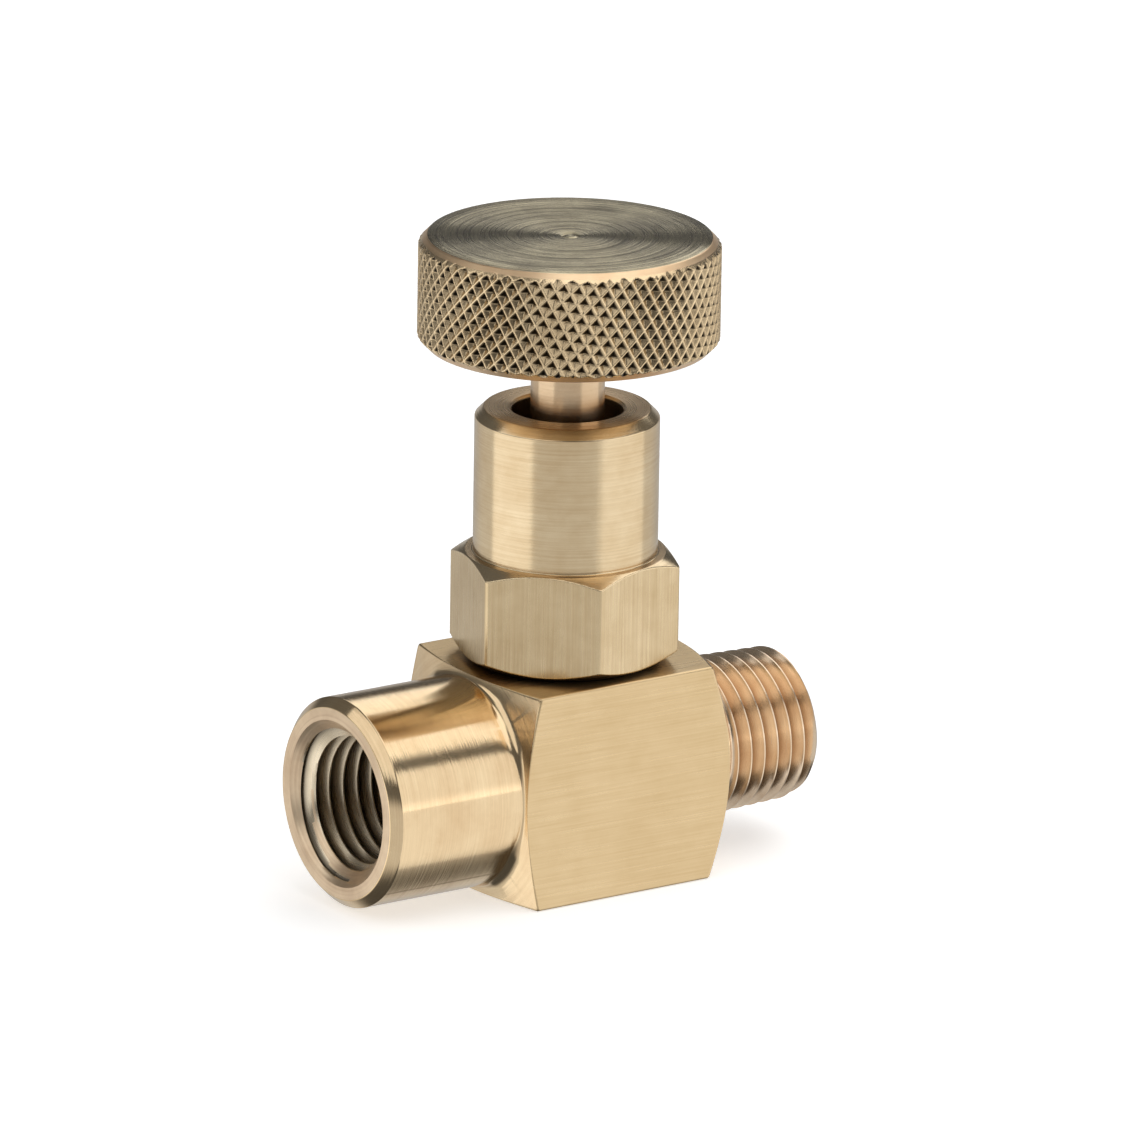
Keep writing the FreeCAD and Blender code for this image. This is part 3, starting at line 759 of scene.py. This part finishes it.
@dataclass
class Bonnet:
    """Hexagon and barrel that carry the stem, with the shank that screws into the body."""

    bottom: float = BONNET_LOW.z
    seat: float = BAR_WIDTH
    top: float = BONNET_HIGH.z
    hex_height: float = 0.375 * INCH
    hex_half: float = 11 / 32 * INCH
    hex_corner: float = 0.5 * MM
    hex_turn: float = math.radians(13.9 + 30)
    slope: float = math.tan(math.radians(30))
    washer: float = 7.8 * MM
    hex_top: float = 8.6 * MM
    barrel: float = 5 / 16 * INCH
    chamfer: float = INCH / 32
    shank: float = 6.68 * MM
    piston_bore: float = 4.45 * MM
    thread_bore: float = 3.65 * MM
    shank_chamfer: float = 0.5 * MM
    gap_rise: float = 0.45 * MM
    back_seat: float = STEM_LOW.z + 11.45 * MM
    top_bore: float = 3 / 16 * INCH
    top_bore_depth: float = 3.0 * MM
    top_bore_break: float = 0.25 * MM

    def build(self) -> None:
        """Make the bonnet and put it in place."""
        angles = polygon_angles(6, self.hex_half, self.hex_corner, self.hex_turn, 32)
        flat = polygon_radius(angles, self.hex_half, 6, self.hex_corner, self.hex_turn)
        hexagon = self.seat + self.hex_height
        skin = Skin(Axis.STEM, angles)
        skin.to(self.bottom, self.piston_bore, FACED_STEM, 0.1 * MM)
        skin.to(self.bottom, self.shank - self.shank_chamfer, TURNED_STEM, 0.05 * MM)
        skin.to(self.bottom + self.shank_chamfer, self.shank, TURNED_STEM, 0.05 * MM)
        # Painted shade in the gap under the hexagon: near black on the seat and the washer face, fading up
        # the cone.
        skin.to(self.seat, self.shank, FACED_STEM, painted_shade=1.0)
        skin.to(self.seat, self.washer, FACED_STEM, 0.08 * MM, painted_shade=1.0)
        gap_radius = self.washer + self.gap_rise / self.slope
        skin.to(self.seat + self.gap_rise, gap_radius, TURNED_STEM, painted_shade=0.75)
        skin.to(self.seat + (flat - self.washer) * self.slope, flat, DRAWN_HEXAGON, 0.1 * MM)
        skin.to(hexagon - (flat - self.hex_top) * self.slope, flat, TURNED_STEM, 0.1 * MM)
        skin.to(hexagon, self.hex_top, FACED_STEM, 0.05 * MM)
        skin.to(hexagon, self.barrel, TURNED_STEM, 0.12 * MM)
        skin.to(self.top - self.chamfer, self.barrel, TURNED_STEM, 0.08 * MM)
        skin.to(self.top, self.barrel - self.chamfer, FACED_STEM, 0.08 * MM)
        skin.to(self.top, self.top_bore + self.top_bore_break, FACED_STEM, 0.06 * MM)
        skin.to(self.top - self.top_bore_break, self.top_bore, DRILLED, 0.06 * MM)
        skin.to(self.top - self.top_bore_depth, self.top_bore, DRILLED, 0.2 * MM)
        skin.to(self.top - self.top_bore_depth, self.thread_bore, DRILLED, 0.1 * MM)
        skin.to(self.back_seat, self.thread_bore, DRILLED, 0.1 * MM)
        skin.to(self.back_seat, self.piston_bore, DRILLED, 0.1 * MM)
        skin.to(self.bottom, self.piston_bore, DRILLED)
        piece = skin.build("brass_bonnet")
        smooth(piece)
        place(piece, "bonnet", "valve_housing", "bonnet_brass")


# ---------------------------------------------------------------- knob


@dataclass
class Knob:
    """Round knob with a rolled diamond knurl between two smooth chamfers.

    Lengths are in metres. The teeth are counted round the rim, and each rise is how much of a tooth a ridge
    climbs in a metre. The pip is the mark at the centre of the top, as heights and radii in millimetres.
    """

    low: float = KNOB_LOW.z
    high: float = KNOB_HIGH.z
    radius: float = (KNOB_HIGH.x - KNOB_LOW.x) / 2
    chamfer: float = INCH / 32
    bore: float = 3.2 * MM
    stem_top: float = STEM_HIGH.z
    steep_teeth: int = 71
    steep_rise: float = 0.481 / MM
    shallow_teeth: int = 56
    shallow_rise: float = 0.688 / MM
    depth: float = 0.30 * MM
    columns: int = 960
    row_step: float = 0.085 * MM
    bore_break: float = 0.2 * MM
    pip: tuple = ((0.0, 1.0), (-0.16, 0.72), (-0.03, 0.48), (0.0, 0.22), (0.0, 0.0))
    screw_clearance: float = 0.03 * MM
    screw_mouth: float = 1 * MM

    def knurl(self, z: np.ndarray, angles: np.ndarray) -> np.ndarray:
        """Depth of the knurl below its ridges.

        Args:
            z: heights.
            angles: directions about the stem axis.

        Returns:
            Depth in metres, 0 on a ridge.
        """
        steep = self.steep_teeth * angles / (2 * math.pi) + self.steep_rise * z
        shallow = self.shallow_teeth * angles / (2 * math.pi) - self.shallow_rise * z
        ridges = [np.abs((p % 1.0) * 2 - 1) for p in (steep, shallow)]
        return self.depth * (1 - np.maximum(*ridges)) * 2 ** 0.5

    def build(self) -> None:
        """Make the knob and put it in place."""
        angles = round_angles(self.columns)
        skin = Skin(Axis.STEM, angles)
        rim = self.radius - self.chamfer
        skin.to(self.stem_top, 0, DRILLED).to(self.stem_top, self.bore, DRILLED)
        skin.to(self.low + self.bore_break, self.bore, DRILLED)
        skin.to(self.low, self.bore + self.bore_break, FACED_STEM)
        skin.to(self.low, rim, CHAMFER_TURNED, 0.06 * MM)
        self.rim_rows(skin)
        skin.to(self.high, rim, FACED_KNOB, 0.06 * MM)
        for share in (0.9, 0.7, 0.5, 0.3, 0.15):
            skin.to(self.high, rim * share, FACED_KNOB)
        for lift, radius in self.pip:
            skin.to(self.high + lift * MM, radius * MM, FACED_KNOB)
        piece = skin.build("brass_knob")
        drill(piece, self.screw_hole())
        smooth(piece, 50)
        place(piece, "knob", "stem_and_knob", "knob_brass")

    def screw_hole(self) -> bpy.types.Object:
        """Tool for the set screw's hole, which runs out of the rim along Y and is flared at its mouth."""
        low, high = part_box("knob_set_screw")
        hole = Skin(Axis.STEM, round_angles(64))
        radius = (high.x - low.x) / 2 + self.screw_clearance
        bottom, mouth = low.y - 0.1 * MM, self.radius - self.depth
        neck, outside = mouth - 0.3 * MM, mouth + 0.7 * MM
        hole.to(bottom, 0, DRILLED).to(bottom, radius, DRILLED).to(neck, radius, TURNED_STEM)
        hole.to(outside, radius + self.screw_mouth, TURNED_STEM).to(outside, 0, TURNED_STEM)
        tool = hole.build("screw_hole_tool")
        turn = Matrix.Rotation(math.radians(-90), 4, "X")
        tool.data.transform(Matrix.Translation((0, 0, (low.z + high.z) / 2)) @ turn)
        return tool

    def rim_rows(self, skin: Skin) -> None:
        """Chamfers and knurled band of the rim, bottom to top."""
        skin.settle()
        angles = skin.angles
        count = round((self.high - self.low) / self.row_step)
        half_step = self.row_step / 2
        for z in np.linspace(self.low, self.high, count + 1)[1:-1]:
            heights = np.full_like(angles, z)
            cone = self.radius - self.chamfer + min(z - self.low, self.high - z)
            knurled = self.radius - self.knurl(heights, angles)
            # Painted shade: darker deep in the knurl and on the slopes that face down.
            rise = self.knurl(heights + half_step, angles) - self.knurl(heights - half_step, angles)
            faces_down = np.clip(0.6 - rise / self.row_step, 0.42, 1)
            depth = (self.radius - knurled) / self.depth
            shade_share = np.clip(depth * 2.6 - 0.3, 0, 0.98) * faces_down * (knurled < cone)
            finish = CHAMFER_TURNED if cone < self.radius - self.depth else KNURL_ROLLED
            skin.row(heights, np.minimum(knurled, cone), finish, shade_share)


# ---------------------------------------------------------------- stem and small pieces


@dataclass
class Stem:
    """Rod, thread and grooved piston of the stem."""

    low: float = STEM_LOW.z
    high: float = STEM_HIGH.z
    rod: float = INCH / 8
    rod_chamfer: float = 0.4 * MM
    lead: float = INCH / 24
    turns: int = 3
    thread: float = 3.6 * MM
    thread_top_gap: float = 3.0 * MM
    back_seat_gap: float = 0.1 * MM
    relief: float = 3.1 * MM
    relief_length: float = 1.0 * MM
    piston: float = 4.4 * MM
    lower_land: float = 3.4 * MM
    upper_land: float = 0.8 * MM
    groove: float = 2.95 * MM
    groove_length: float = 4.02 * MM
    socket: float = 2.6 * MM
    socket_depth: float = 2.7 * MM

    def build(self) -> None:
        """Make the stem and put it in place."""
        groove_low = self.low + self.lower_land
        groove_top = groove_low + self.groove_length
        piston_top = groove_top + self.upper_land
        thread_low = piston_top + self.relief_length
        thread_top = BONNET_HIGH.z - self.thread_top_gap - self.turns * self.lead - self.back_seat_gap
        skin = Skin(Axis.STEM, round_angles(96))
        socket_floor = self.low + self.socket_depth
        skin.to(socket_floor, 0, DRILLED).to(socket_floor, self.socket, DRILLED)
        skin.to(self.low, self.socket, FACED_STEM).to(self.low, self.piston, TURNED_ROD, 0.1 * MM)
        skin.to(groove_low, self.piston, FACED_STEM, 0.05 * MM).to(groove_low, self.groove, TURNED_ROD)
        skin.to(groove_top, self.groove, FACED_STEM).to(groove_top, self.piston, TURNED_ROD, 0.05 * MM)
        skin.to(piston_top, self.piston, FACED_STEM, 0.1 * MM).to(piston_top, self.relief, TURNED_ROD)
        skin.to(thread_low, self.relief, TURNED_ROD).to(thread_low, self.thread, TURNED_ROD, 0.2 * MM)
        skin.to(thread_top, self.thread, TURNED_ROD, 0.2 * MM).to(thread_top, self.rod, TURNED_ROD)
        skin.to(self.high - self.rod_chamfer, self.rod, TURNED_ROD, 0.05 * MM)
        skin.to(self.high, self.rod - self.rod_chamfer, FACED_STEM, 0.05 * MM).to(self.high, 0, FACED_STEM)
        piece = skin.build("brass_stem")
        smooth(piece)
        place(piece, "stem", "stem_and_knob", "stem_brass")


def dress_small_pieces() -> None:
    """Give the frame's own small pieces their materials."""
    finishes = {
        "needle_tip": GROUND_STEEL,
        "tip_retainer": GROUND_STEEL,
        "stem_o_ring": NITRILE,
        "backup_ring_lower": PTFE,
        "backup_ring_upper": PTFE,
        "bonnet_seal_ring": PTFE,
        "knob_set_screw": BLACK_OXIDE,
    }
    for name, finish in finishes.items():
        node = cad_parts[name]
        node.data.materials.clear()
        node.data.materials.append(finish.material())
        log.info("%s: %s", name, finish.name)


# ---------------------------------------------------------------- studio


@dataclass(frozen=True)
class Softbox:
    """Rectangular soft light that faces the valve.

    Attributes:
        name: the light's name.
        azimuth: its direction about Z, in degrees from +X.
        elevation: its height above the horizon, in degrees.
        half_angles: half of its width and height as seen from the valve, in degrees.
        radiance: how bright its face is; 1 shows as white.
    """

    name: str
    azimuth: float
    elevation: float
    half_angles: tuple[float, float]
    radiance: float


STUDIO_LIGHTS = (
    Softbox("left table light", 163, -20, (29, 23), 0.48),
    Softbox("left soft light", 178, 40, (38, 18), 0.85),
    Softbox("right soft light", 313, 16, (33, 18.5), 0.88),
    Softbox("right table light", 313, -29, (33, 26), 0.33),
    Softbox("top soft light", 318, 73, (34, 28), 1.15),
    Softbox("back soft light", 42, 38, (22, 15), 1.15),
)


@dataclass
class Studio:
    """Pale floor, soft lights and the camera."""

    azimuth: float = math.radians(34.37)
    elevation: float = math.radians(16.82)
    roll: float = math.radians(0.928)
    distance: float = 1.228
    aim_height: float = 26.70 * MM
    aim_right: float = 0.442 * MM
    lens: float = 452.9
    light_distance: float = 0.8
    floor_reach: float = 3.0
    floor_gap: float = 0.02 * MM

    def to_camera(self) -> Vector:
        """Unit vector from the valve to the camera."""
        flat = math.cos(self.elevation)
        away = (-math.sin(self.azimuth) * flat, -math.cos(self.azimuth) * flat, math.sin(self.elevation))
        return Vector(away)

    def camera(self) -> None:
        """Make the camera and make it the scene's own."""
        back = self.to_camera()
        right = Vector((math.cos(self.azimuth), -math.sin(self.azimuth), 0))
        up = back.cross(right)
        turned = right * math.cos(self.roll) + up * math.sin(self.roll)
        upright = up * math.cos(self.roll) - right * math.sin(self.roll)
        data = bpy.data.cameras.new("camera")
        data.lens = self.lens
        data.sensor_width = 36
        data.clip_start = 0.1
        camera = bpy.data.objects.new("camera", data)
        target = Vector((0, 0, self.aim_height)) + right * self.aim_right
        basis = Matrix((turned, upright, back)).transposed().to_4x4()
        camera.matrix_world = Matrix.Translation(target + back * self.distance) @ basis
        bpy.context.scene.collection.objects.link(camera)
        bpy.context.scene.camera = camera

    def softbox(self, box: "Softbox") -> None:
        """Hang a rectangular soft light that faces the valve.

        Args:
            box: the light's place, reach and brightness.
        """
        a, e = math.radians(box.azimuth), math.radians(box.elevation)
        out = Vector((math.cos(a) * math.cos(e), math.sin(a) * math.cos(e), math.sin(e)))
        data = bpy.data.lights.new(box.name, "AREA")
        data.shape = "RECTANGLE"
        sizes = [2 * self.light_distance * math.tan(math.radians(half)) for half in box.half_angles]
        data.size, data.size_y = sizes
        data.energy = box.radiance * math.pi * data.size * data.size_y
        light = bpy.data.objects.new(box.name, data)
        light.location = Vector((0, 0, self.aim_height)) + out * self.light_distance
        light.rotation_mode = "QUATERNION"
        light.rotation_quaternion = out.to_track_quat("Z", "Y")
        light.visible_camera = False
        bpy.context.scene.collection.objects.link(light)

    def room(self) -> None:
        """White surroundings for the camera, and a dim grey room for the metal to reflect."""
        world = bpy.data.worlds.new("room")
        world.use_nodes = True
        tree = world.node_tree
        tree.nodes.clear()
        path = add(tree, "ShaderNodeLightPath")
        direction = add(tree, "ShaderNodeTexCoord").outputs["Generated"]
        side = add(tree, "ShaderNodeVectorMath", {"operation": "DOT_PRODUCT"}, in_0=direction,
                   in_1=(-math.sin(self.azimuth), -math.cos(self.azimuth), 0.0))
        height = add(tree, "ShaderNodeSeparateXYZ", Vector=direction).outputs["Z"]
        soft = {"interpolation_type": "SMOOTHSTEP"}
        front = add(tree, "ShaderNodeMapRange", soft, Value=side.outputs["Value"],
                    From_Min=-0.98, From_Max=-0.55, To_Min=0.7, To_Max=1.0).outputs[0]
        upper = add(tree, "ShaderNodeMapRange", soft, Value=height,
                    From_Min=-0.05, From_Max=0.16, To_Min=0.64, To_Max=0.13).outputs[0]
        lower = add(tree, "ShaderNodeMapRange", soft, Value=height,
                    From_Min=-0.9, From_Max=-0.72, To_Min=0.12, To_Max=1.0).outputs[0]
        wall = add(tree, "ShaderNodeMath", {"operation": "MULTIPLY"}, in_0=front, in_1=upper).outputs[0]
        grey = add(tree, "ShaderNodeMath", {"operation": "MULTIPLY"}, in_0=wall, in_1=lower)
        dim = add(tree, "ShaderNodeBackground", Color=(1, 1, 1, 1), Strength=grey.outputs[0])
        white = add(tree, "ShaderNodeBackground", Color=(1, 1, 1, 1), Strength=1.0)
        both = add(tree, "ShaderNodeMixShader", in_0=path.outputs["Is Camera Ray"], in_1=dim.outputs[0],
                   in_2=white.outputs[0])
        add(tree, "ShaderNodeOutputWorld", Surface=both.outputs[0])
        bpy.context.scene.world = world

    def floor(self) -> None:
        """Lay a wide pale floor under the body."""
        mesh = bpy.data.meshes.new("floor")
        reach = self.floor_reach
        corners = [(-reach, -reach, 0), (reach, -reach, 0), (reach, reach, 0), (-reach, reach, 0)]
        mesh.from_pydata(corners, [], [(0, 1, 2, 3)])
        surface = bpy.data.materials.new("painted_floor")
        surface.use_nodes = True
        shader = surface.node_tree.nodes["Principled BSDF"]
        shader.inputs["Base Color"].default_value = srgb("#fbfbfb")
        shader.inputs["Roughness"].default_value = 0.8
        shader.inputs["Emission Color"].default_value = srgb("#ffffff")
        shader.inputs["Emission Strength"].default_value = 0.5
        mesh.materials.append(surface)
        floor = bpy.data.objects.new("floor", mesh)
        floor.location.z = BODY_LOW.z - self.floor_gap
        floor.visible_glossy = False
        floor.visible_shadow = False
        bpy.context.scene.collection.objects.link(floor)

    def build(self) -> None:
        """Set up the camera, the floor and the lights."""
        self.camera()
        self.room()
        self.floor()
        for light in STUDIO_LIGHTS:
            self.softbox(light)
        bpy.context.scene.view_settings.view_transform = "Standard"


# ---------------------------------------------------------------- main


def main() -> None:
    """Build every piece in order."""
    logging.basicConfig(level=logging.INFO, format="%(message)s")
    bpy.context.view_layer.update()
    Studio().build()
    Body().build()
    Bonnet().build()
    Stem().build()
    Knob().build()
    dress_small_pieces()


if __name__ == "__main__":
    main()
